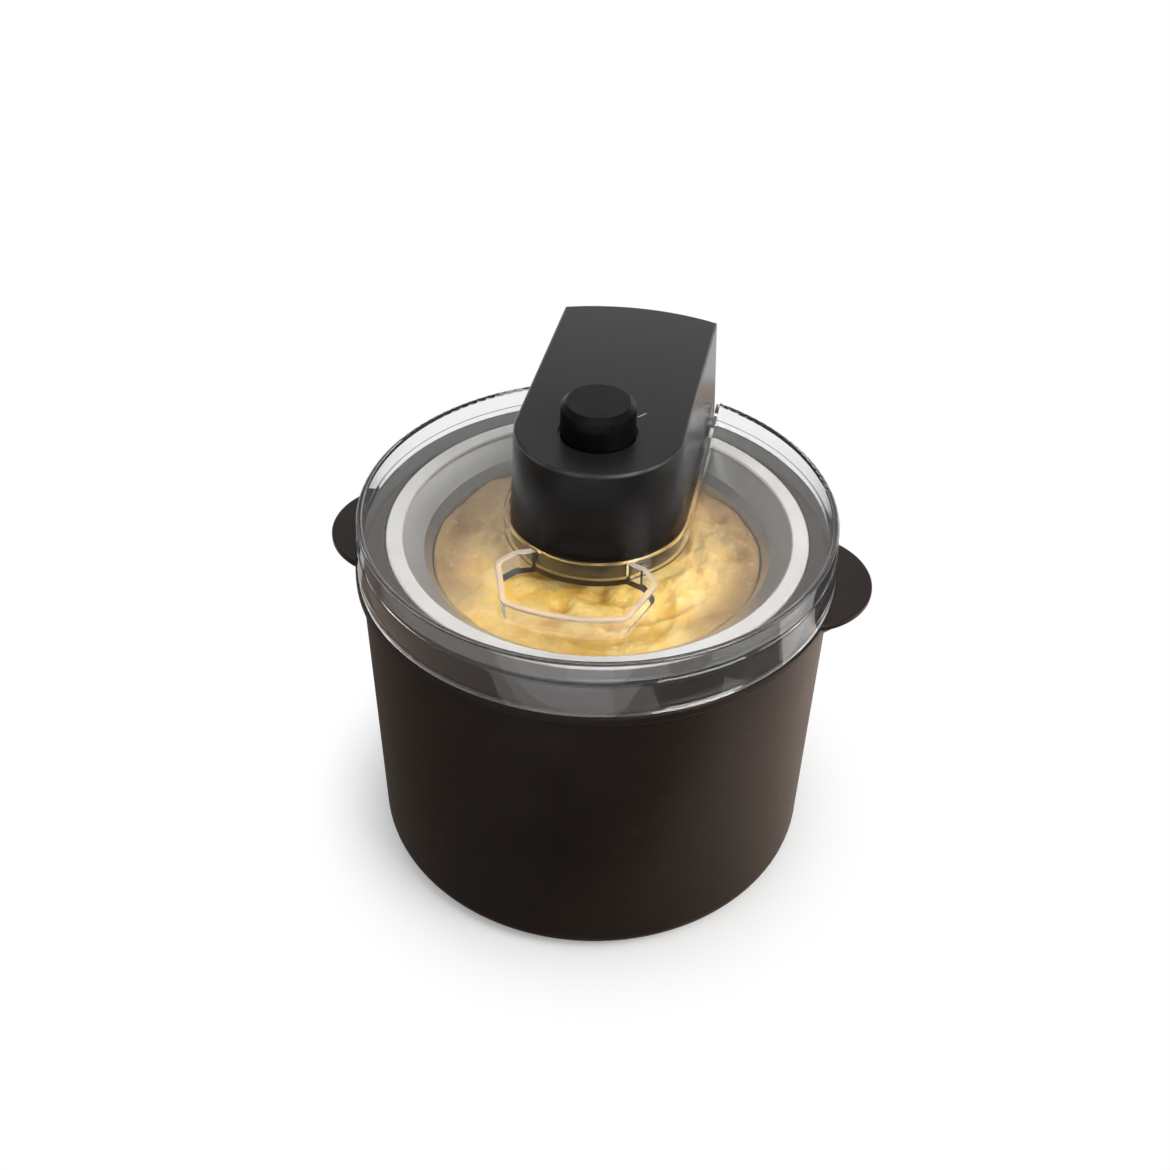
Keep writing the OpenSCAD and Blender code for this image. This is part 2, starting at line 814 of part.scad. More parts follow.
function head_r(z) = head_foot_r - (head_foot_r - head_top_r) * (z - head_z) / head_h;

// Half section of the head from the axis out, between two heights
module head_section(z0, z1, inset, round_r) {
    r1 = head_r(z1) - inset;
    polygon([
        [0, z0], [head_r(z0) - inset, z0], [head_r(z1 - round_r) - inset, z1 - round_r],
        [r1 - round_r, z1], [0, z1]
    ]);
    translate([r1 - round_r, z1 - round_r])
        circle(r = round_r, $fn = 64);
}

// Head's body: a drafted half cone in front that runs into a drafted tail
module head_body(z0, z1, inset = 0, round_r = 0.4) {
    back_r = head_back_r - inset;
    intersection() {
        union() {
            rotate_extrude()
                head_section(z0, z1, inset, round_r);
            translate([0, back_r + 1, 0])
                rotate([90, 0, 0])
                    linear_extrude(back_r + 1) {
                        head_section(z0, z1, inset, round_r);
                        mirror([1, 0])
                            head_section(z0, z1, inset, round_r);
                    }
        }
        rotate_extrude()
            union() {
                translate([0, z0 - 1])
                    square([back_r, z1 - z0 + 1 - round_r]);
                translate([0, z0])
                    square([back_r - round_r, z1 - z0]);
                translate([back_r - round_r, z1 - round_r])
                    circle(r = round_r, $fn = 64);
            }
    }
}

// Round bar along Y, for the lead inlet
module y_rod(x, z, r, y0, y1) {
    translate([x, y1, z])
        rotate([90, 0, 0])
            cylinder(r = r, h = y1 - y0, $fn = 64);
}

module head_cover() {
    color([0.09, 0.09, 0.095])
    difference() {
        union() {
            difference() {
                head_body(cover_z, head_top_z, 0, cover_round);
                head_body(cover_z - 1, ceiling_z, cover_wall, 0.8);
            }
            intersection() {
                union() {
                    for (p = head_screw_places)
                        rod(p, boss_r, cover_boss_foot_z, ceiling_z + 1);
                    y_rod(0, lead_z, inlet_boss_r, inlet_boss_y, head_back_r);
                }
                head_body(cover_z, head_top_z, 0.5, cover_round);
            }
        }
        for (p = head_screw_places)
            rod(p, screw_r + screw_gap, cover_boss_foot_z - 1, cover_boss_foot_z + 12, 32);
        // Well round the knob and hole for the switch's bush
        rod([0, -knob_y], knob_well_r, head_top_z - knob_well_d, head_top_z + 1, 96);
        rod([0, -knob_y], switch_bush_r + screw_gap, ceiling_z - 2, head_top_z);
        // Inlet for the lead, with a pocket for the bush's flange
        y_rod(0, lead_z, bush_r + pin_gap, inlet_boss_y - 2, head_back_r + 1);
        y_rod(0, lead_z, bush_flange_r + 0.2, head_back_r - pocket_depth, head_back_r + 1);
    }
}

module head_base() {
    rim_h = 1.8;
    saddle_z = lead_z - 0.1;
    color([0.08, 0.08, 0.085])
    difference() {
        union() {
            head_body(head_z, cover_z, 0.3, 0.4);
            // Rim that centres the cover
            difference() {
                head_body(cover_z - 1, cover_z + rim_h, cover_wall + 0.2, 0.4);
                head_body(cover_z - 2, cover_z + rim_h + 1, cover_wall + 1.8, 0.4);
            }
            for (p = head_screw_places)
                rod(p, boss_r + 0.5, head_z + 1, cover_boss_foot_z);
            for (p = plate_post_places)
                rod(p, boss_r, head_z + 1, gear_plate_z);
            for (p = motor_post_places)
                rod(p, boss_r, head_z + 1, motor_plate_z);
            // Saddle under the lead
            translate([-clamp_half[0], clamp_y - clamp_half[1], head_z + 1])
                cube([2 * clamp_half[0], 2 * clamp_half[1], saddle_z - head_z - 1]);
            // Slotted guides for the power board
            for (y = [board_y0 - 1.5, board_y1 - 1.5])
                translate([board_x - 1.3, y, head_z + 1])
                    cube([board_t + 2.6, 3, board_z - head_z + 5]);
        }
        for (p = head_screw_places) {
            rod(p, screw_head_r + 0.3, head_z - 1, counterbore_z);
            rod(p, screw_r + 0.3, head_z, cover_boss_foot_z + 1, 32);
        }
        for (p = plate_post_places)
            rod(p, screw_r + screw_gap, cover_z - 0.6, gear_plate_z + 1, 32);
        for (p = motor_post_places)
            rod(p, screw_r + screw_gap, motor_plate_z - motor_plate_screw_l, motor_plate_z + 1, 32);
        for (x = [-clamp_screw_x, clamp_screw_x])
            rod([x, clamp_y], screw_r + screw_gap, saddle_z - 8, saddle_z + 1, 32);
        y_rod(0, lead_z, lead_r + 0.1, clamp_y - 5, clamp_y + 5);
        translate([board_x - 0.1, board_y0 - 0.1, board_z - 0.1])
            cube([board_t + 0.2, board_y1 - board_y0 + 0.2, 20]);
        // Way through for the shaft, with a pocket for its seal
        rod([0, 0], shaft_r + 1, head_z - 1, cover_z + 1);
        rod([0, 0], seal_r + 0.1, head_z + 0.6, cover_z + 1);
    }
}

module gear_plate() {
    color([0.7, 0.7, 0.72])
    translate([0, 0, gear_plate_z])
        linear_extrude(gear_plate_t)
            difference() {
                union() {
                    circle(r = gear_plate_r);
                    soft_rect(-gear_plate_half_w, 0, gear_plate_half_w, plate_post_y + 4, 4);
                }
                circle(r = shaft_r + 2 + pin_gap);
                translate([0, slow_y])
                    circle(r = slow_axle_r + pin_gap);
                translate([0, fast_y])
                    circle(r = fast_axle_r + pin_gap);
                for (p = plate_post_places)
                    translate(p)
                        circle(r = screw_r + 0.2, $fn = 32);
            }
}

module motor_plate() {
    color([0.7, 0.7, 0.72])
    translate([0, 0, motor_plate_z])
        linear_extrude(motor_plate_t)
            difference() {
                soft_rect(
                    -motor_post_x - 3.6, fast_y - 9.5,
                    motor_post_x + 3.6, motor_y + motor_r + 0.9, 4
                );
                translate([0, fast_y])
                    circle(r = 7.2);
                translate([0, motor_y])
                    circle(r = 4.1);
                for (x = [-motor_screw_x, motor_screw_x])
                    translate([x, motor_y])
                        circle(r = 1.1, $fn = 32);
                for (p = motor_post_places)
                    translate(p)
                        circle(r = screw_r + 0.2, $fn = 32);
            }
}

module output_bush() {
    plate_top_z = gear_plate_z + gear_plate_t;
    color([0.75, 0.6, 0.3])
    difference() {
        union() {
            rod([0, 0], shaft_r + 2, gear_plate_z - 1, plate_top_z + 0.5);
            rod([0, 0], shaft_r + 4, plate_top_z, plate_top_z + bush_flange_t);
        }
        rod([0, 0], shaft_r + run_gap, gear_plate_z - 2, plate_top_z + 3);
    }
}

module shaft_seal() {
    color([0.15, 0.15, 0.16])
    ring(shaft_r + run_gap, seal_r, head_z + 0.6, cover_z - 0.1);
}

module gear_axles() {
    color([0.78, 0.78, 0.8]) {
        rod([0, slow_y], slow_axle_r, gear_plate_z, slow_big_z + middle_face + 1.4);
        rod([0, fast_y], fast_axle_r, gear_plate_z, ceiling_z - 0.3);
    }
}

module motor_can() {
    top = motor_plate_z;
    foot = top - motor_h;
    color([0.75, 0.75, 0.77])
    translate([0, motor_y, 0])
        difference() {
            union() {
                rod([0, 0], motor_r, foot, top, 64);
                rod([0, 0], 4, top - 1, top + 1.2);
            }
            rod([0, 0], motor_r - can_wall, foot - 1, top - 1.2, 64);
            rod([0, 0], motor_shaft_r + run_gap, top - 2, top + 2, 32);
            for (x = [-motor_screw_x, motor_screw_x])
                rod([x, 0], 1, top - 2, top + 1, 32);
        }
}

module motor_end_cap() {
    foot = motor_plate_z - motor_h;
    color([0.85, 0.85, 0.8])
    translate([0, motor_y, 0])
        difference() {
            union() {
                rod([0, 0], motor_r, foot - cap_h, foot, 64);
                rod([0, 0], motor_r - can_wall - pin_gap, foot - 1, foot + 2.5, 64);
            }
            rod([0, 0], motor_shaft_r + run_gap, foot - 10, foot + 5, 32);
        }
}

module motor_magnets() {
    outer = motor_r - can_wall - pin_gap;
    foot = motor_plate_z - motor_h + magnet_inset;
    color([0.25, 0.25, 0.27])
    translate([0, motor_y, 0])
        for (a = [20, 200])
            rotate([0, 0, a])
                rotate_extrude(angle = 140)
                    translate([outer - magnet_t, foot])
                        square([magnet_t, magnet_l]);
}

module motor_rotor() {
    core_r = motor_r - can_wall - magnet_t - 0.5;
    foot = motor_plate_z - motor_h + rotor_inset;
    color([0.55, 0.35, 0.25])
    translate([0, motor_y, foot])
        linear_extrude(rotor_l)
            difference() {
                circle(r = core_r);
                circle(r = motor_shaft_r + pin_gap, $fn = 32);
                for (a = [0 : 72 : 288])
                    rotate([0, 0, a]) {
                        translate([core_r * 0.65, 0])
                            circle(r = 1.9, $fn = 32);
                        translate([core_r * 0.65, -0.5])
                            square([core_r, 1]);
                    }
            }
}

module motor_shaft() {
    color([0.8, 0.8, 0.82])
    rod([0, motor_y], motor_shaft_r, motor_plate_z - motor_h - cap_h + 0.3, ceiling_z - 0.4, 32);
}

// Gears: each pair is in mesh at rest, tooth against gap
module motor_pinion() {
    color([0.8, 0.65, 0.35])
    translate([0, motor_y, 0])
        difference() {
            gear(pinion_teeth, fast_module, fast_big_z, fast_face, 270 + 180 / pinion_teeth);
            rod([0, 0], motor_shaft_r + pin_gap, fast_big_z - 1, fast_big_z + fast_face + 1, 32);
        }
}

module fast_idler_gear() {
    small_z = slow_big_z - 0.5;
    small_top_z = slow_big_z + middle_face + 0.5;
    color([0.93, 0.93, 0.9])
    translate([0, fast_y, 0])
        difference() {
            union() {
                rod([0, 0], 3.8, hub_z, small_z + 1);
                gear(fast_small_teeth, middle_module, small_z, small_top_z - small_z,
                    270 + 180 / fast_small_teeth);
                rod([0, 0], 6, small_top_z, fast_big_z + 1);
                gear(fast_teeth, fast_module, fast_big_z, fast_face, 90);
            }
            rod([0, 0], fast_axle_r + run_gap, hub_z - 1, ceiling_z + 1);
        }
}

module slow_idler_gear() {
    small_z = output_gear_z - 0.5;
    color([0.93, 0.93, 0.9])
    translate([0, slow_y, 0])
        difference() {
            union() {
                rod([0, 0], 5, hub_z, small_z + 0.5);
                gear(slow_small_teeth, slow_module, small_z, slow_big_z - small_z,
                    270 + 180 / slow_small_teeth);
                gear(slow_teeth, middle_module, slow_big_z, middle_face, 90);
                rod([0, 0], 5, slow_big_z, slow_big_z + middle_face + 1);
            }
            rod([0, 0], slow_axle_r + run_gap, hub_z - 1, slow_big_z + middle_face + 2);
        }
}

module output_gear() {
    foot = gear_plate_z + gear_plate_t + bush_flange_t + seat_gap;
    top = output_gear_z + slow_face;
    root_r = slow_module * (output_teeth / 2 - dedendum);
    web_hole_r = (root_r - output_hub_r) / 2 - web_margin;
    color([0.93, 0.93, 0.9])
    difference() {
        union() {
            rod([0, 0], output_hub_r, foot, top + 2);
            gear(output_teeth, slow_module, output_gear_z, slow_face, 90);
        }
        rod([0, 0], shaft_r + pin_gap, foot - 1, top + 3);
        // Round weight holes in the web, halfway between the hub and the teeth
        for (a = [0 : 60 : 300])
            rotate([0, 0, a])
                rod([(output_hub_r + root_r) / 2, 0], web_hole_r, output_gear_z - 1, top + 1);
    }
}

module drive_shaft() {
    hex_top_z = lid_top_z - 2;
    color([0.8, 0.8, 0.82]) {
        rod([0, 0], shaft_r, hex_top_z, output_gear_z + slow_face + 1.5);
        rod([0, 0], hex_w / 2 / cos(30), head_z - hex_depth, hex_top_z + 1, 6);
    }
}

module switch_body() {
    foot = ceiling_z - switch_h;
    color([0.2, 0.14, 0.1])
    translate([0, -knob_y, 0])
        difference() {
            union() {
                rod([0, 0], switch_r, foot, ceiling_z, 64);
                rod([0, 0], switch_bush_r, ceiling_z - 1, well_floor_z + nut_h + 0.4);
                for (x = [-6, 6])
                    translate([x - 0.4, -2.4, foot - 5])
                        cube([0.8, 4.8, 6]);
            }
            rod([0, 0], spindle_r + run_gap, foot + 2, head_top_z + 5);
        }
}

module switch_nut() {
    color([0.75, 0.75, 0.77])
    translate([0, -knob_y, 0])
        difference() {
            rod([0, 0], 7, well_floor_z, well_floor_z + nut_h, 6);
            rod([0, 0], switch_bush_r + pin_gap, well_floor_z - 1, well_floor_z + nut_h + 1);
        }
}

module switch_spindle() {
    color([0.8, 0.8, 0.82])
    rod([0, -knob_y], spindle_r, ceiling_z - switch_h + 2.3, well_floor_z + knob_h - 4.5);
}

module knob() {
    foot = well_floor_z + seat_gap;
    top = well_floor_z + knob_h;
    boss_foot = well_floor_z + nut_h + 0.9;
    shoulder_r = knob_r - 0.3;
    color([0.05, 0.05, 0.05])
    translate([0, -knob_y, 0])
        difference() {
            rotate_extrude()
                difference() {
                    union() {
                        polygon([
                            [0, foot], [knob_r - 0.4, foot], [knob_r, foot + 0.4],
                            [shoulder_r, top - knob_bevel_h], [shoulder_r - knob_bevel_w, top],
                            [0, top]
                        ]);
                    }
                    difference() {
                        translate([-1, foot - 1])
                            square([knob_r - 3 + 1, 7]);
                        translate([-1, boss_foot])
                            square([5.3, 10]);
                    }
                }
            rod([0, 0], spindle_r + pin_gap, foot - 1, top - 4.4);
            translate([-pointer_w / 2, shoulder_r - knob_bevel_w - 1.4, top - pointer_depth])
                cube([pointer_w, knob_bevel_w + 3, pointer_depth + 1]);
        }
}

module power_board() {
    mid_y = (board_y0 + board_y1) / 2;
    color([0.1, 0.4, 0.2]) {
        translate([board_x, board_y0, board_z])
            cube([board_t, board_y1 - board_y0, board_h]);
        // Smoothing capacitor, fuse and rectifier
        translate([board_x + 0.2 - capacitor_l, mid_y, board_z + 4 * capacitor_r])
            rotate([0, 90, 0])
                cylinder(r = capacitor_r, h = capacitor_l, $fn = 48);
        y_rod(board_x + 0.1 - fuse_r, board_z + 9, fuse_r, mid_y - fuse_l / 2, mid_y + fuse_l / 2);
        translate([board_x + 0.2 - rectifier[0], mid_y - rectifier[1] / 2, board_z + board_h - 4])
            cube(rectifier);
    }
}

// Lead inlet
module cord_bush() {
    color([0.13, 0.13, 0.13])
    difference() {
        union() {
            y_rod(0, lead_z, bush_r, inlet_boss_y - 1, head_back_r - pocket_depth + 0.5);
            y_rod(0, lead_z, bush_flange_r, head_back_r - pocket_depth, head_back_r - 0.3);
            y_rod(0, lead_z, bush_r + 1, inlet_boss_y - 1.4, inlet_boss_y);
        }
        y_rod(0, lead_z, lead_r, inlet_boss_y - 3, head_back_r + 1);
    }
}

module cord_clamp() {
    foot = lead_z + 0.2;
    color([0.3, 0.3, 0.32])
    difference() {
        translate([-clamp_half[0], clamp_y - clamp_half[1], foot])
            cube([2 * clamp_half[0], 2 * clamp_half[1], clamp_h]);
        y_rod(0, lead_z, lead_r + 0.1, clamp_y - 5, clamp_y + 5);
        for (x = [-clamp_screw_x, clamp_screw_x])
            rod([x, clamp_y], screw_r + 0.2, foot - 1, foot + 7, 32);
    }
}

// Screws, one group for each kind
module head_screws() {
    color([0.7, 0.7, 0.72])
    for (p = head_screw_places)
        screw(p, counterbore_z, head_screw_l, false);
}

module gear_plate_screws() {
    color([0.7, 0.7, 0.72])
    for (p = plate_post_places)
        screw(p, gear_plate_z + gear_plate_t, plate_screw_l);
}

module motor_plate_screws() {
    color([0.7, 0.7, 0.72])
    for (p = motor_post_places)
        screw(p, motor_plate_z + motor_plate_t, motor_plate_screw_l);
}

module motor_screws() {
    color([0.7, 0.7, 0.72])
    for (x = [-motor_screw_x, motor_screw_x])
        screw([x, motor_y], motor_plate_z + motor_plate_t, motor_plate_t + 1.1, true, 0.95, 1.9);
}

module clamp_screws() {
    color([0.7, 0.7, 0.72])
    for (x = [-clamp_screw_x, clamp_screw_x])
        screw([x, clamp_y], lead_z + 0.2 + clamp_h, clamp_screw_l);
}

outer_housing();
rubber_feet();
bowl_shell();
bowl_liner();
bowl_rim();
bowl_gasket();
cooling_gel();
fill_plug();
lid();
paddle();
head_cover();
head_base();
gear_plate();
motor_plate();
output_bush();
shaft_seal();
gear_axles();
motor_can();
motor_end_cap();
motor_magnets();
switch_body();
switch_nut();
power_board();
cord_bush();
cord_clamp();
head_screws();
gear_plate_screws();
motor_plate_screws();
motor_screws();
clamp_screws();
output_gear();
drive_shaft();
slow_idler_gear();
fast_idler_gear();
motor_rotor();
motor_shaft();
motor_pinion();
knob();
switch_spindle();
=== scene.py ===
import json
import math

import bmesh
import bpy
from mathutils import Matrix, Vector, noise


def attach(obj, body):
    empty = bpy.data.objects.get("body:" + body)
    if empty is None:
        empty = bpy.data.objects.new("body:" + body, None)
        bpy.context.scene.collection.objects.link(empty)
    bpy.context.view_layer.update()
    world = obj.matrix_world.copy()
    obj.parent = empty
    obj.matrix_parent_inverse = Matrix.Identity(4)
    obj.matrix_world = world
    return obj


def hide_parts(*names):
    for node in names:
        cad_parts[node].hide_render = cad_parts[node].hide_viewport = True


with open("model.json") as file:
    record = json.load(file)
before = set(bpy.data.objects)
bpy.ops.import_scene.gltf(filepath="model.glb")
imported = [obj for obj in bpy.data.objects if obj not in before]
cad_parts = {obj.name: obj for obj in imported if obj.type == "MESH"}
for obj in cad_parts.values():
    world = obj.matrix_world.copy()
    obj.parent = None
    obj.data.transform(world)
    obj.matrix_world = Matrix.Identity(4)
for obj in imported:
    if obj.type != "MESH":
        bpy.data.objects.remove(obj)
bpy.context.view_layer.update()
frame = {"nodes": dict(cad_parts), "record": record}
nodes = frame["nodes"]

MM = 0.001


def box_of(name):
    """Lowest and highest corner of one CAD node, in metres."""
    corners = [vertex.co for vertex in nodes[name].data.vertices]
    return [Vector(pick(c[i] for c in corners) for i in range(3)) for pick in (min, max)]


HOUSING_FOOT = box_of("outer_housing")[0].z
HEAD_TOP = box_of("head_cover")[1].z
KNOB_LOW, KNOB_HIGH = box_of("knob")
KNOB_AXIS_Y = (KNOB_LOW.y + KNOB_HIGH.y) / 2

# the bead round the mouth of the lid's filler chute, and how far out the chute lies
BEAD_FOOT, BEAD_TOP = 166.75 * MM, 168.45 * MM
CHUTE_NEAR, CHUTE_FAR = 40 * MM, 80 * MM
CHUTE_FOOT = 161 * MM

# the churned cream: a ring from the paddle's hub to the liner
CREAM_INNER, CREAM_OUTER = 8.7 * MM, 69.6 * MM
CREAM_FOOT, CREAM_LEVEL = 137.6 * MM, 143.6 * MM


# ---------------------------------------------------------------- camera

CAMERA_TURN, CAMERA_RISE, CAMERA_ROLL = (math.radians(a) for a in (10.85, 38.66, 0.99))
CAMERA_DISTANCE = 669 * MM
CAMERA_LENS = 45.96
# it looks at a point this far left of, and above, the machine's axis at AIM_HEIGHT
AIM_HEIGHT = 100 * MM
AIM_LEFT, AIM_UP = 4.82 * MM, 21.07 * MM


def aim_camera():
    """Camera in front of the machine, a little to its right and well above it."""
    back = Vector((
        math.sin(CAMERA_TURN) * math.cos(CAMERA_RISE),
        -math.cos(CAMERA_TURN) * math.cos(CAMERA_RISE),
        math.sin(CAMERA_RISE),
    ))
    right = Vector((math.cos(CAMERA_TURN), math.sin(CAMERA_TURN), 0))
    up = back.cross(right)
    across = right * math.cos(CAMERA_ROLL) + up * math.sin(CAMERA_ROLL)
    upward = up * math.cos(CAMERA_ROLL) - right * math.sin(CAMERA_ROLL)
    place = Vector((0, 0, AIM_HEIGHT)) - right * AIM_LEFT + up * AIM_UP + back * CAMERA_DISTANCE
    data = bpy.data.cameras.new("camera")
    data.sensor_width = 36
    data.lens = CAMERA_LENS
    data.clip_start = 0.01
    camera = bpy.data.objects.new("camera", data)
    camera.matrix_world = Matrix((
        (across.x, upward.x, back.x, place.x),
        (across.y, upward.y, back.y, place.y),
        (across.z, upward.z, back.z, place.z),
        (0, 0, 0, 1),
    ))
    bpy.context.scene.collection.objects.link(camera)
    bpy.context.scene.camera = camera


aim_camera()
bpy.context.scene.view_settings.view_transform = "Standard"


# ---------------------------------------------------------------- finishes

class Level:
    """A shader socket that can be added to, scaled and compared like a number."""

    def __init__(self, owner, socket):
        self.owner = owner
        self.socket = socket

    def _with(self, operation, *values):
        return self.owner.add(
            "ShaderNodeMath", {"operation": operation}, dict(enumerate(values))
        )

    def __add__(self, other):
        return self._with("ADD", self, other)

    def __radd__(self, other):
        return self._with("ADD", other, self)

    def __sub__(self, other):
        return self._with("SUBTRACT", self, other)

    def __rsub__(self, other):
        return self._with("SUBTRACT", other, self)

    def __mul__(self, other):
        return self._with("MULTIPLY", self, other)

    def __rmul__(self, other):
        return self._with("MULTIPLY", other, self)

    def __gt__(self, other):
        return self._with("GREATER_THAN", self, other)

    def __lt__(self, other):
        return self._with("LESS_THAN", self, other)

    def __abs__(self):
        return self._with("ABSOLUTE", self)

    def root(self):
        return self._with("SQRT", self)


class Nodes:
    """A node tree that grows one node at a time."""

    def __init__(self, tree):
        self.tree = tree
        tree.nodes.clear()

    def add(self, kind, settings, inputs, output=0):
        """Adds a node, sets it up, then joins or fills its inputs.

        Returns the output asked for, or a list where a list of outputs is asked for.
        """
        node = self.tree.nodes.new(kind)
        for key, value in settings.items():
            setattr(node, key, value)
        for key, value in inputs.items():
            socket = node.inputs[key]
            if isinstance(value, Level):
                self.tree.links.new(value.socket, socket)
            elif socket.type == "RGBA":
                socket.default_value = (*value, 1)
            else:
                socket.default_value = value
        if isinstance(output, list):
            return [Level(self, node.outputs[each]) for each in output]
        return Level(self, node.outputs[output])


class Finish(Nodes):
    """One material's nodes."""

    def __init__(self, name):
        self.material = bpy.data.materials.new(name)
        self.material.use_nodes = True
        super().__init__(self.material.node_tree)
        self.place = self.add("ShaderNodeTexCoord", {}, {}, "Object")

    def grain(self, size, detail=2.0, rough=0.5, stretch=None):
        """Soft noise whose grains are about as wide as size, in metres."""
        where = self.place
        if stretch:
            where = self.add("ShaderNodeMapping", {}, {"Vector": where, "Scale": stretch})
        return self.add(
            "ShaderNodeTexNoise", {},
            {"Vector": where, "Scale": 1 / size, "Detail": detail, "Roughness": rough},
            "Fac",
        )

    def lines(self, level, size, detail):
        """Fine lines that change with one level only, about size metres wide."""
        return self.add(
            "ShaderNodeTexNoise", {"noise_dimensions": "1D"},
            {"W": level, "Scale": 1 / size, "Detail": detail, "Roughness": 0.6}, "Fac",
        )

    def cells(self, size):
        return self.add(
            "ShaderNodeTexVoronoi", {"feature": "F1"},
            {"Vector": self.place, "Scale": 1 / size}, "Distance",
        )

    def split(self, where=None):
        """The three coordinates of a place, one by one."""
        return self.add("ShaderNodeSeparateXYZ", {}, {0: where or self.place}, [0, 1, 2])

    def distance(self):
        """How far the place is from the origin."""
        return self.add("ShaderNodeVectorMath", {"operation": "LENGTH"}, {0: self.place}, "Value")

    def step(self, value, low, high, start=0.0, end=1.0):
        """Runs from start to end as value goes from low to high, and stays within them."""
        return self.add(
            "ShaderNodeMapRange", {"interpolation_type": "SMOOTHSTEP"},
            {"Value": value, "From Min": low, "From Max": high, "To Min": start, "To Max": end},
        )

    def blend(self, share, first, second):
        """Colour between first and second."""
        return self.add(
            "ShaderNodeMix", {"data_type": "RGBA"}, {0: share, 6: first, 7: second}, 2
        )

    def relief(self, height, depth, below=None):
        """Small relief, depth metres high, laid over the relief below it."""
        inputs = {"Height": height, "Distance": depth, "Strength": 1.0}
        if below:
            inputs["Normal"] = below
        return self.add("ShaderNodeBump", {}, inputs)

    def surface(self, **sockets):
        """The main shader; names are its sockets with _ for a space."""
        inputs = {key.replace("_", " "): value for key, value in sockets.items()}
        return self.add("ShaderNodeBsdfPrincipled", {}, inputs)

    def glow(self, colour):
        return self.add("ShaderNodeEmission", {}, {"Color": colour, "Strength": 1.0})

    def close(self, shader):
        self.add("ShaderNodeOutputMaterial", {}, {"Surface": shader}, [])
        return self.material


def moulded_plastic(name, colour, worn, rough, grain_depth, specular=0.3, foot=None,
                    sheen=(1, 1, 1)):
    """Moulded plastic: fine spark-eroded grain, faint flow marks, rubbed and dusty places."""
    f = Finish(name)
    flow = f.grain(24 * MM, 3, 0.6)
    rubbed = f.step(f.grain(9 * MM, 5, 0.65), 0.56, 0.78)
    tint = f.blend(rubbed * 0.5 + f.step(flow, 0.35, 0.7) * 0.25, colour, worn)
    shine = rough + (flow - 0.5) * 0.1 - rubbed * 0.06
    if foot is not None:
        height = f.split()[2]
        scuffed = f.step(height, foot + 0.5 * MM, foot + 5 * MM, 1, 0) \
            * f.step(f.grain(2.2 * MM, 4, 0.6), 0.5, 0.68)
        tint = f.blend(scuffed * 0.45, tint, tuple(min(1, c * 2.4 + 0.03) for c in worn))
        shine = shine + scuffed * 0.15
    skin = f.relief(f.grain(0.5 * MM, 2, 0.5), grain_depth)
    skin = f.relief(flow, 0.05 * MM, skin)
    return f.close(f.surface(
        Base_Color=tint, Roughness=shine, Normal=skin, Specular_IOR_Level=specular, IOR=1.5,
        Specular_Tint=sheen,
    ))


def clear_plastic():
    """Clear lid moulding: polished, with faint flow, fine scratches and a breath of haze."""
    f = Finish("clear lid plastic")
    flow = f.grain(30 * MM, 2, 0.5)
    hair = f.grain(0.9 * MM, 2, 0.5, stretch=(1, 14, 3))
    scratches = f.step(hair, 0.66, 0.7)
    skin = f.relief(flow, 0.03 * MM)
    glass = f.surface(
        Base_Color=f.blend(flow, (0.94, 0.945, 0.945), (0.97, 0.97, 0.965)),
        Roughness=0.02 + scratches * 0.12, Normal=skin, IOR=1.49,
        Transmission_Weight=0.992,
    )
    clear = f.add("ShaderNodeBsdfTransparent", {}, {"Color": (0.985, 0.985, 0.985)})
    shadow = f.add("ShaderNodeLightPath", {}, {}, "Is Shadow Ray")
    return f.close(f.add("ShaderNodeMixShader", {}, {0: shadow, 1: glass, 2: clear}))


def bead_plastic():
    """The same clear plastic on the thick rounded bead, with the light it gathers painted in as a
    milky pale tint.
    """
    f = Finish("clear bead plastic")
    flow = f.grain(6 * MM, 2, 0.5)
    skin = f.relief(flow, 0.05 * MM)
    return f.close(f.surface(
        Base_Color=f.blend(flow, (0.93, 0.86, 0.82), (0.97, 0.91, 0.87)),
        Roughness=0.16 + (flow - 0.5) * 0.1, Normal=skin, IOR=1.49, Transmission_Weight=0.66,
    ))


def thin_clear_plastic():
    """The chute's thin wall: a faint film that hardly bends what is seen through it."""
    f = Finish("thin clear wall")
    flow = f.grain(12 * MM, 2, 0.5)
    skin = f.relief(flow, 0.03 * MM)
    return f.close(f.surface(
        Base_Color=f.blend(flow, (0.9, 0.86, 0.82), (0.97, 0.95, 0.93)),
        Roughness=0.06 + flow * 0.05, Alpha=0.07 + flow * 0.06, Normal=skin, IOR=1.49,
    ))


def gloss_white(name, colour, shade):
    """Smooth white moulding with faint clouding and fine dust."""
    f = Finish(name)
    cloud = f.grain(16 * MM, 3, 0.55)
    dust = f.step(f.grain(0.7 * MM, 3, 0.6), 0.62, 0.7)
    skin = f.relief(cloud, 0.12 * MM)
    return f.close(f.surface(
        Base_Color=f.blend(f.step(cloud, 0.3, 0.75) + dust * 0.1, colour, shade),
        Roughness=0.2 + dust * 0.2 + (cloud - 0.5) * 0.1, Normal=skin, IOR=1.5,
        Subsurface_Weight=0.08, Subsurface_Radius=(0.004, 0.0035, 0.003), Subsurface_Scale=1.0,
    ))


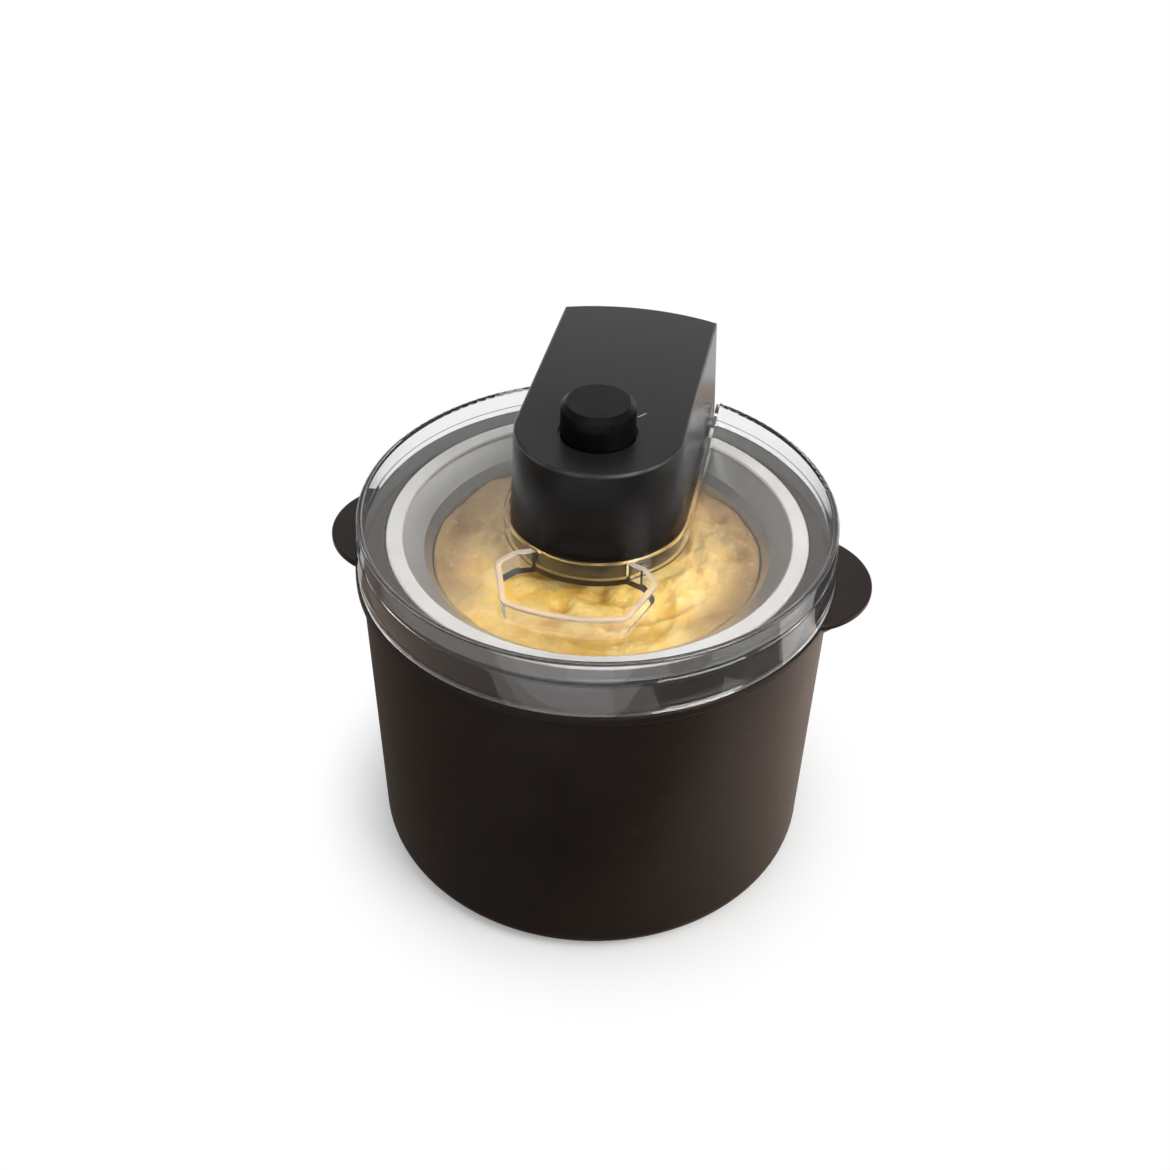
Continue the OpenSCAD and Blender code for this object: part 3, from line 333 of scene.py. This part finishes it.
def satin_metal(name, colour, dull, rough, size, turned=True):
    """Satin metal with fine turning or drawing lines, size mm apart, and a few dull spots."""
    f = Finish(name)
    spots = f.step(f.grain(6 * MM, 4, 0.65), 0.5, 0.75)
    if turned:
        lines = f.lines(f.distance(), size * MM, 3.0)
    else:
        lines = f.grain(size * MM, 3, 0.6, stretch=(1, 0.06, 1))
    skin = f.relief(lines, 0.01 * MM)
    return f.close(f.surface(
        Base_Color=f.blend(spots * 0.5 + (lines - 0.5) * 0.3, colour, dull),
        Metallic=1.0, Roughness=rough + spots * 0.08 + (lines - 0.5) * 0.12, Normal=skin,
    ))


def knob_plastic():
    """Black knob: polished side and bevel, and a top face turned in fine rings."""
    f = Finish("turned black knob")
    centred = f.add(
        "ShaderNodeMapping", {}, {"Vector": f.place, "Location": (0, -KNOB_AXIS_Y, 0)}
    )
    x, y, z = f.split(centred)
    rings = f.lines((x * x + y * y).root(), 0.3125 * MM, 2.0)
    top = f.step(z, KNOB_HIGH.z - 0.2 * MM, KNOB_HIGH.z - 0.05 * MM)
    smear = f.grain(7 * MM, 3, 0.6)
    skin = f.relief(rings * top, 0.012 * MM)
    tint = f.blend(
        rings * top * 0.6 + smear * 0.2, (0.0032, 0.0031, 0.003), (0.01, 0.01, 0.0104)
    )
    return f.close(f.surface(
        Base_Color=tint, Roughness=0.24 + top * 0.1 + (smear - 0.5) * 0.1, Normal=skin,
        Anisotropic=0.88, Specular_IOR_Level=0.1, IOR=1.5,
    ))


def head_plastic():
    """Satin black head cover with one pale printed stroke beside the knob."""
    f = Finish("satin black head")
    x, y, z = f.split()
    flow = f.grain(28 * MM, 3, 0.6)
    rubbed = f.step(f.grain(8 * MM, 5, 0.65), 0.58, 0.8)
    # painted light: the top face is given a lighter colour than the sides, standing in for the
    # light it catches; it is also a little rougher
    top = f.step(z, HEAD_TOP - 2 * MM, HEAD_TOP - 0.1 * MM)
    tint = f.blend(top, (0.0028, 0.0022, 0.0018), (0.013, 0.0126, 0.0122))
    tint = f.blend((rubbed * 0.4 + flow * 0.2) * (0.4 + top * 0.6), tint, (0.016, 0.0155, 0.015))
    # painted highlight: a paler line along the top's rounded edge, broken up by the flow noise
    edge_highlight = f.step(z, HEAD_TOP - 1.6 * MM, HEAD_TOP - MM) \
        * f.step(z, HEAD_TOP - 0.4 * MM, HEAD_TOP - 0.05 * MM, 1, 0)
    tint = f.blend(edge_highlight * f.step(flow, 0.35, 0.6) * 0.8, tint, (0.1, 0.098, 0.095))
    # printed stroke beside the knob, on the line that points at the knob
    stroke_x, stroke_y = 15.2 * MM, 12.6 * MM
    half_length, half_width = 2.3 * MM, 0.28 * MM
    along = (x - stroke_x) * 0.62 + (y - stroke_y) * 0.785
    aside = (x - stroke_x) * 0.785 - (y - stroke_y) * 0.62
    on_top = z > HEAD_TOP - 0.2 * MM
    stroke = (abs(along) < half_length) * (abs(aside) < half_width) * on_top
    worn_print = f.step(f.grain(0.5 * MM, 3, 0.6), 0.3, 0.45)
    tint = f.blend(stroke * worn_print * 0.8, tint, (0.55, 0.55, 0.54))
    skin = f.relief(f.grain(0.35 * MM, 2, 0.5), 0.006 * MM)
    return f.close(f.surface(
        Base_Color=tint, Roughness=0.25 + top * 0.06 + (flow - 0.5) * 0.08 - rubbed * 0.05,
        Normal=skin, Specular_IOR_Level=0.22, IOR=1.5,
    ))


def custard_cream():
    """Churned vanilla ice cream: soft and a little wet, with painted shade in its dips, by the
    wall and away from the bright place under the chute.
    """
    f = Finish("vanilla ice cream")
    smear = f.grain(11 * MM, 5, 0.62)
    bits = f.grain(2.2 * MM, 4, 0.65)
    x, y, z = f.split()
    tint = f.blend(f.step(smear, 0.36, 0.64), (0.9, 0.56, 0.11), (0.98, 0.71, 0.25))
    drift = smear - 0.5
    low, high = CREAM_LEVEL - 1.6 * MM, CREAM_LEVEL + 2.9 * MM
    # painted shade: darker and browner in the low places of the churned surface
    hollow_shade = f.step(z + drift * (6 * MM), low, high, 1, 0)
    tint = f.blend(hollow_shade * 0.6, tint, (0.62, 0.33, 0.05))
    # painted shade: darker and browner away from the brightest place, which is under the chute
    off_x, off_y = x - 10 * MM, y + 46 * MM
    away = (off_x * off_x + off_y * off_y).root()
    far_shade = f.step(away + drift * (30 * MM), 30 * MM, 92 * MM)
    tint = f.blend(far_shade * 0.85, tint, (0.36, 0.22, 0.07))
    # painted shade: a darker edge by the wall, except at the front
    reach = (x * x + y * y).root()
    edge = f.step(reach + drift * (14 * MM), 50 * MM, 66 * MM) * f.step(y, -60 * MM, -32 * MM)
    tint = f.blend(edge * 0.82, tint, (0.24, 0.13, 0.025))
    tint = f.blend(f.step(bits, 0.58, 0.74) * 0.4, tint, (0.99, 0.82, 0.4))
    skin = f.relief(f.grain(5 * MM, 4, 0.6), 0.8 * MM)
    skin = f.relief(bits, 0.35 * MM, skin)
    skin = f.relief(f.grain(0.6 * MM, 3, 0.6), 0.06 * MM, skin)
    return f.close(f.surface(
        Base_Color=tint, Roughness=0.44 - f.step(smear, 0.5, 0.7) * 0.16, Normal=skin,
        Subsurface_Weight=0.2, Subsurface_Radius=(0.005, 0.0035, 0.0015), Subsurface_Scale=1.0,
        Specular_IOR_Level=0.4,
    ))


def speckled(name, colour, fleck, rough, size, metallic=0.0, depth=0.02):
    """A cast, sintered, wound or printed finish: cells of a second colour over the first."""
    f = Finish(name)
    spots = f.cells(size * MM)
    cloud = f.grain(5 * MM, 3, 0.6)
    skin = f.relief(spots, depth * MM)
    return f.close(f.surface(
        Base_Color=f.blend(f.step(spots, 0.2, 0.6) * 0.5 + (cloud - 0.5) * 0.3, colour, fleck),
        Roughness=rough + (cloud - 0.5) * 0.14, Metallic=metallic, Normal=skin,
    ))


def wound_copper():
    """Varnished winding: rings of wire round the rotor's slots."""
    f = Finish("wound rotor")
    wires = f.add(
        "ShaderNodeTexWave", {"wave_type": "BANDS", "bands_direction": "Z"},
        {"Vector": f.place, "Scale": 700.0, "Distortion": 1.5, "Detail": 1.0}, "Fac",
    )
    cloud = f.grain(4 * MM, 3, 0.6)
    skin = f.relief(wires, 0.12 * MM)
    return f.close(f.surface(
        Base_Color=f.blend(wires * 0.6 + cloud * 0.3, (0.16, 0.06, 0.03), (0.55, 0.24, 0.1)),
        Roughness=0.3 + cloud * 0.15, Metallic=0.6, Normal=skin,
    ))


FINISHES = {
    "housing_black": moulded_plastic(
        "warm black housing", (0.0115, 0.0078, 0.0062), (0.02, 0.0145, 0.012), 0.36, 0.012 * MM,
        specular=0.18, foot=HOUSING_FOOT, sheen=(1, 0.84, 0.74),
    ),
    "head_black": head_plastic(),
    "knob_black": knob_plastic(),
    "lid_clear": clear_plastic(),
    "rim_white": gloss_white("white bowl rim", (0.49, 0.478, 0.47), (0.44, 0.428, 0.416)),
    "shell_white": moulded_plastic(
        "white bowl shell", (0.78, 0.78, 0.76), (0.66, 0.65, 0.62), 0.42, 0.01 * MM, specular=0.4
    ),
    "liner_metal": satin_metal("satin liner", (0.62, 0.61, 0.6), (0.5, 0.49, 0.48), 0.34, 0.7),
    "gasket_rubber": moulded_plastic(
        "soft gasket rubber", (0.09, 0.09, 0.095), (0.15, 0.15, 0.15), 0.7, 0.02 * MM
    ),
    "gel_blue": speckled("freezing gel", (0.12, 0.3, 0.55), (0.3, 0.5, 0.7), 0.35, 3.0),
    "paddle_white": gloss_white("white paddle", (0.79, 0.785, 0.76), (0.72, 0.71, 0.68)),
    "foot_rubber": moulded_plastic(
        "black rubber", (0.012, 0.012, 0.012), (0.03, 0.029, 0.028), 0.68, 0.02 * MM,
        specular=0.2,
    ),
    "plate_steel": satin_metal(
        "plated sheet steel", (0.56, 0.56, 0.57), (0.42, 0.41, 0.4), 0.36, 0.8, turned=False
    ),
    "shaft_steel": satin_metal("ground steel", (0.62, 0.62, 0.63), (0.5, 0.5, 0.5), 0.24, 0.25),
    "screw_steel": satin_metal("zinc screws", (0.55, 0.55, 0.56), (0.4, 0.39, 0.36), 0.34, 0.2),
    "bush_brass": speckled(
        "sintered brass", (0.62, 0.45, 0.19), (0.42, 0.3, 0.13), 0.38, 0.3, metallic=1.0
    ),
    "gear_white": speckled("natural acetal", (0.78, 0.77, 0.72), (0.7, 0.69, 0.62), 0.36, 1.2),
    "magnet_grey": speckled(
        "ferrite magnet", (0.05, 0.05, 0.052), (0.1, 0.1, 0.1), 0.55, 0.4, metallic=0.3
    ),
    "rotor_copper": wound_copper(),
    "switch_brown": speckled(
        "phenolic switch body", (0.05, 0.028, 0.018), (0.1, 0.06, 0.035), 0.5, 0.8
    ),
    "board_green": speckled(
        "coated circuit board", (0.015, 0.11, 0.045), (0.03, 0.2, 0.08), 0.3, 2.0, depth=0.03
    ),
}
SLOTS = {s["node"]: s["material_slot"] for s in frame["record"]["subparts"]}
for name, piece in nodes.items():
    piece.data.materials.clear()
    piece.data.materials.append(FINISHES[SLOTS[name]])


# ---------------------------------------------------------------- ice cream

def nothing_selected():
    if bpy.context.object and bpy.context.object.mode != "OBJECT":
        bpy.ops.object.mode_set(mode="OBJECT")
    bpy.ops.object.select_all(action="DESELECT")


def churned_height(x, y):
    """Height of the churned surface over its middle level, in metres."""
    reach = math.hypot(x, y)
    angle = math.atan2(y, x)
    # folds run round the bowl and drift outwards, as the blades drag them
    drag = angle + 1.1 * math.sin(reach * 70)
    along = Vector((math.cos(drag) * 1.5, math.sin(drag) * 1.5, reach * 62))
    folds = 1 - abs(noise.noise(along)) * 2.6
    broad = noise.noise(Vector((x * 26, y * 26, 4.0)))
    # pressed layers, each with a soft lip where the blade left it
    layer = noise.fractal(Vector((x * 34, y * 34, 5.0)), 1.0, 2.0, 3) * 5
    lip = layer - math.floor(layer)
    layers = math.floor(layer) + min(1.0, (1 - math.cos(math.pi * min(1.0, lip * 2.5))) / 2)
    lumps = noise.fractal(Vector((x * 120, y * 120, 9.0)), 0.9, 2.1, 4)
    torn = max(0.0, noise.noise(Vector((x * 75, y * 75, 2.0))) - 0.12)
    rise = folds * 1.0 + broad * 2.0 + layers * 0.55 + lumps * 0.9 - torn * 6.0
    wall = max(0.0, (reach - 58 * MM) / (11.7 * MM))
    rise = rise * (1 - 0.4 * wall) + 2.2 * wall * noise.noise(Vector((x * 60, y * 60, 7.0)))
    dome = 2.4 * (1 - (reach / (70 * MM)) ** 2)
    return (rise + dome) * MM


def make_ice_cream():
    """The cream on top of the bowl's fill: a ring that runs from the paddle's hub to the liner."""
    rings = 84
    middle = (0, 0, CREAM_FOOT)
    nothing_selected()
    bpy.ops.mesh.primitive_circle_add(
        vertices=300, radius=CREAM_INNER, fill_type="NOTHING", location=middle
    )
    cream = bpy.context.object
    cream.name = "ice_cream"
    bpy.ops.object.transform_apply(location=True, rotation=True, scale=True)
    bpy.ops.object.mode_set(mode="EDIT")
    bpy.ops.mesh.select_all(action="SELECT")
    reach = CREAM_INNER
    for ring in range(1, rings + 1):
        wider = CREAM_INNER + (CREAM_OUTER - CREAM_INNER) * ring / rings
        bpy.ops.mesh.extrude_region_move()
        bpy.ops.transform.resize(value=(wider / reach, wider / reach, 1), center_override=middle)
        reach = wider
    bpy.ops.mesh.select_all(action="SELECT")
    bpy.ops.mesh.extrude_region_move(
        TRANSFORM_OT_translate={"value": (0, 0, CREAM_LEVEL - CREAM_FOOT)}
    )
    bpy.ops.mesh.select_all(action="SELECT")
    bpy.ops.mesh.remove_doubles(threshold=1e-6)
    bpy.ops.mesh.normals_make_consistent(inside=False)
    bpy.ops.object.mode_set(mode="OBJECT")
    for vertex in cream.data.vertices:
        if vertex.co.z > CREAM_LEVEL - 0.5 * MM:
            vertex.co.z = CREAM_LEVEL + churned_height(vertex.co.x, vertex.co.y)
    bpy.ops.object.shade_smooth()
    cream.data.materials.append(custard_cream())
    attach(cream, "bowl")


make_ice_cream()


# ---------------------------------------------------------------- lid

def at_bead(point):
    return BEAD_FOOT < point.z < BEAD_TOP and math.hypot(point.x, point.y) < CHUTE_FAR


def merge_bead_corners(lid):
    """Takes out the tiny steps round the bead, which would stop its rounding short."""
    bpy.ops.mesh.remove_doubles(threshold=0.002 * MM)
    mesh = bmesh.from_edit_mesh(lid.data)
    for vertex in mesh.verts:
        vertex.select = at_bead(vertex.co)
    mesh.select_flush(False)
    bmesh.update_edit_mesh(lid.data)
    bpy.ops.mesh.remove_doubles(threshold=0.2 * MM)
    bpy.ops.mesh.dissolve_limited(angle_limit=math.radians(0.5))


def select_bead_edges(lid):
    """Selects the bead's outer edges; where the chute meets the recess wall they stay sharp."""
    bpy.ops.mesh.select_all(action="DESELECT")
    bpy.ops.mesh.select_mode(type="EDGE")
    mesh = bmesh.from_edit_mesh(lid.data)
    crowded = {
        vertex for edge in mesh.edges if edge.calc_length() < 0.25 * MM for vertex in edge.verts
    }
    for edge in mesh.edges:
        outer = edge.is_convex and edge.calc_face_angle(0) > math.radians(40)
        edge.select = outer and all(
            at_bead(vertex.co) and vertex not in crowded for vertex in edge.verts
        )
    bmesh.update_edit_mesh(lid.data)


def finish_chute(lid):
    """Gives the bead and the chute's thin walls their own finishes."""
    lid.data.materials.append(bead_plastic())
    lid.data.materials.append(thin_clear_plastic())
    for face in lid.data.polygons:
        corners = [lid.data.vertices[i].co for i in face.vertices]
        reaches = [math.hypot(c.x, c.y) for c in corners]
        upright = abs(face.normal.z) < 0.1 and max(c.z for c in corners) > CHUTE_FOOT
        if all(at_bead(c) for c in corners):
            face.material_index = 1
        elif upright and min(reaches) > CHUTE_NEAR and max(reaches) < CHUTE_FAR:
            face.material_index = 2


def make_lid():
    """The lid with the bead on its filler chute rounded, as it leaves the mould."""
    nothing_selected()
    lid = nodes["lid"].copy()
    lid.data = lid.data.copy()
    lid.name = "clear_lid"
    bpy.context.scene.collection.objects.link(lid)
    bpy.context.view_layer.objects.active = lid
    lid.select_set(True)
    bpy.ops.mesh.customdata_custom_splitnormals_clear()
    bpy.ops.object.mode_set(mode="EDIT")
    bpy.ops.mesh.select_mode(type="VERT")
    bpy.ops.mesh.select_all(action="SELECT")
    merge_bead_corners(lid)
    select_bead_edges(lid)
    bpy.ops.mesh.bevel(offset=0.55 * MM, segments=3, affect="EDGES", clamp_overlap=True)
    bpy.ops.object.mode_set(mode="OBJECT")
    bpy.ops.object.shade_smooth_by_angle(angle=math.radians(35))
    finish_chute(lid)
    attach(lid, "lid")
    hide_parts("lid")


make_lid()


# ---------------------------------------------------------------- floor, lamps, surroundings

def make_floor():
    """Pale floor that runs to white well away from the machine."""
    nothing_selected()
    bpy.ops.mesh.primitive_plane_add(size=8, location=(0, 0, 0))
    floor = bpy.context.object
    floor.name = "floor"
    f = Finish("pale floor")
    seen, glossy, through = f.add(
        "ShaderNodeLightPath", {}, {}, ["Is Camera Ray", "Is Glossy Ray", "Is Transmission Ray"]
    )
    radius = f.distance()
    away = f.step(radius, 0.07, 0.14) * seen + f.step(radius, 0.22, 0.3) * (glossy + through)
    ground = f.surface(
        Base_Color=f.blend(f.grain(60 * MM, 3, 0.5), (0.93, 0.93, 0.93), (0.95, 0.95, 0.95)),
        Roughness=0.9, Specular_IOR_Level=0.0,
    )
    floor.data.materials.append(
        f.close(f.add("ShaderNodeMixShader", {}, {0: away, 1: ground, 2: f.glow((1, 1, 1))}))
    )


def make_lamp(name, place, target, size, watts, colour):
    data = bpy.data.lights.new(name, "AREA")
    data.shape = "RECTANGLE"
    data.size, data.size_y = size
    data.energy = watts
    data.color = colour
    lamp = bpy.data.objects.new(name, data)
    lamp.location = place
    lamp.rotation_euler = (Vector(target) - Vector(place)).to_track_quat("-Z", "Y").to_euler()
    lamp.visible_camera = False
    bpy.context.scene.collection.objects.link(lamp)


def glow_card(name, size, place, colour, other=None, through=False, upright=False):
    """Flat card that only reflections see: on the floor for the sides, upright for the tops.

    With a second colour it runs from the first at its left edge to that one at its right.
    With through, what passes the clear lid sees it too.
    """
    nothing_selected()
    bpy.ops.mesh.primitive_plane_add(size=1, location=(0, 0, 0))
    card = bpy.context.object
    card.name = name
    bpy.ops.object.mode_set(mode="EDIT")
    bpy.ops.mesh.select_all(action="SELECT")
    bpy.ops.transform.resize(value=(size[0], size[1], 1), center_override=(0, 0, 0))
    if upright:
        bpy.ops.transform.rotate(value=math.pi / 2, orient_axis="X", center_override=(0, 0, 0))
    bpy.ops.transform.translate(value=place)
    bpy.ops.object.mode_set(mode="OBJECT")
    f = Finish(name)
    if other:
        half = size[0] / 2
        colour = f.blend(f.step(f.split()[0], place[0] - half, place[0] + half), colour, other)
    card.data.materials.append(f.close(f.glow(colour)))
    for ray in ("camera", "diffuse", "volume_scatter", "shadow"):
        setattr(card, "visible_" + ray, False)
    card.visible_transmission = through


def make_world():
    """White to look at, dimmer in reflections and softer still for what lights the machine."""
    world = bpy.data.worlds.new("studio")
    bpy.context.scene.world = world
    world.use_nodes = True
    sky = Nodes(world.node_tree)
    lit = sky.add("ShaderNodeBackground", {}, {"Color": (0.98, 0.985, 1), "Strength": 0.3})
    for ray, strength in (
        ("Is Glossy Ray", 0.4), ("Is Transmission Ray", 1.0), ("Is Camera Ray", 1.0)
    ):
        share = sky.add("ShaderNodeLightPath", {}, {}, ray)
        white = sky.add("ShaderNodeBackground", {}, {"Color": (1, 1, 1), "Strength": strength})
        lit = sky.add("ShaderNodeMixShader", {}, {0: share, 1: lit, 2: white})
    sky.add("ShaderNodeOutputWorld", {}, {"Surface": lit}, [])


make_floor()
glow_card("left ground", (0.46, 0.36), (-0.23, -0.08, 0.4 * MM),
          (0.34, 0.245, 0.205), (0.17, 0.145, 0.12), through=True)
glow_card("right ground", (0.24, 0.65), (0.12, 0.075, 0.4 * MM),
          (0.2, 0.17, 0.14), (1.3, 1.05, 0.9))
glow_card("front card", (0.3, 0.08), (-0.06, -0.315, 0.8 * MM), (1.5, 1.5, 1.5), through=True)
glow_card("dark flag", (0.3, 0.13), (0.12, -0.205, 0.8 * MM), (0.01, 0.01, 0.01))
glow_card("skirt flag", (0.19, 0.15), (0.245, -0.195, 1.2 * MM), (0.01, 0.01, 0.01), through=True)
glow_card("side flag", (0.11, 0.125), (0.29, -0.0575, 1.2 * MM), (0.05, 0.05, 0.05), through=True)
glow_card("right card", (0.1, 0.16), (0.31, 0.085, 0.8 * MM), (1.5, 1.4, 1.32), through=True)
glow_card("back card", (1.6, 0.42), (-0.1, 0.9, 0.44), (1.6, 1.6, 1.6), upright=True)
make_lamp("key softbox", (0.62, -0.36, 0.72), (0, -0.05, 0.15), (0.5, 0.5), 5.6, (1, 0.985, 0.96))
make_lamp("top softbox", (0.1, -0.3, 1.0), (0, 0, 0.1), (0.9, 0.6), 1.6, (1, 1, 1))
make_lamp("back softbox", (-0.14, 0.55, 1.02), (0, 0, 0.15), (1.0, 0.3), 1.6, (1, 1, 1))
make_lamp("left strip", (-0.8, 0.0, 0.35), (0, 0, 0.12), (0.3, 0.8), 0.5, (1, 0.97, 0.94))
make_lamp("right strip", (0.8, 0.1, 0.35), (0, 0, 0.12), (0.35, 0.5), 1.0, (1, 0.93, 0.87))
make_world()
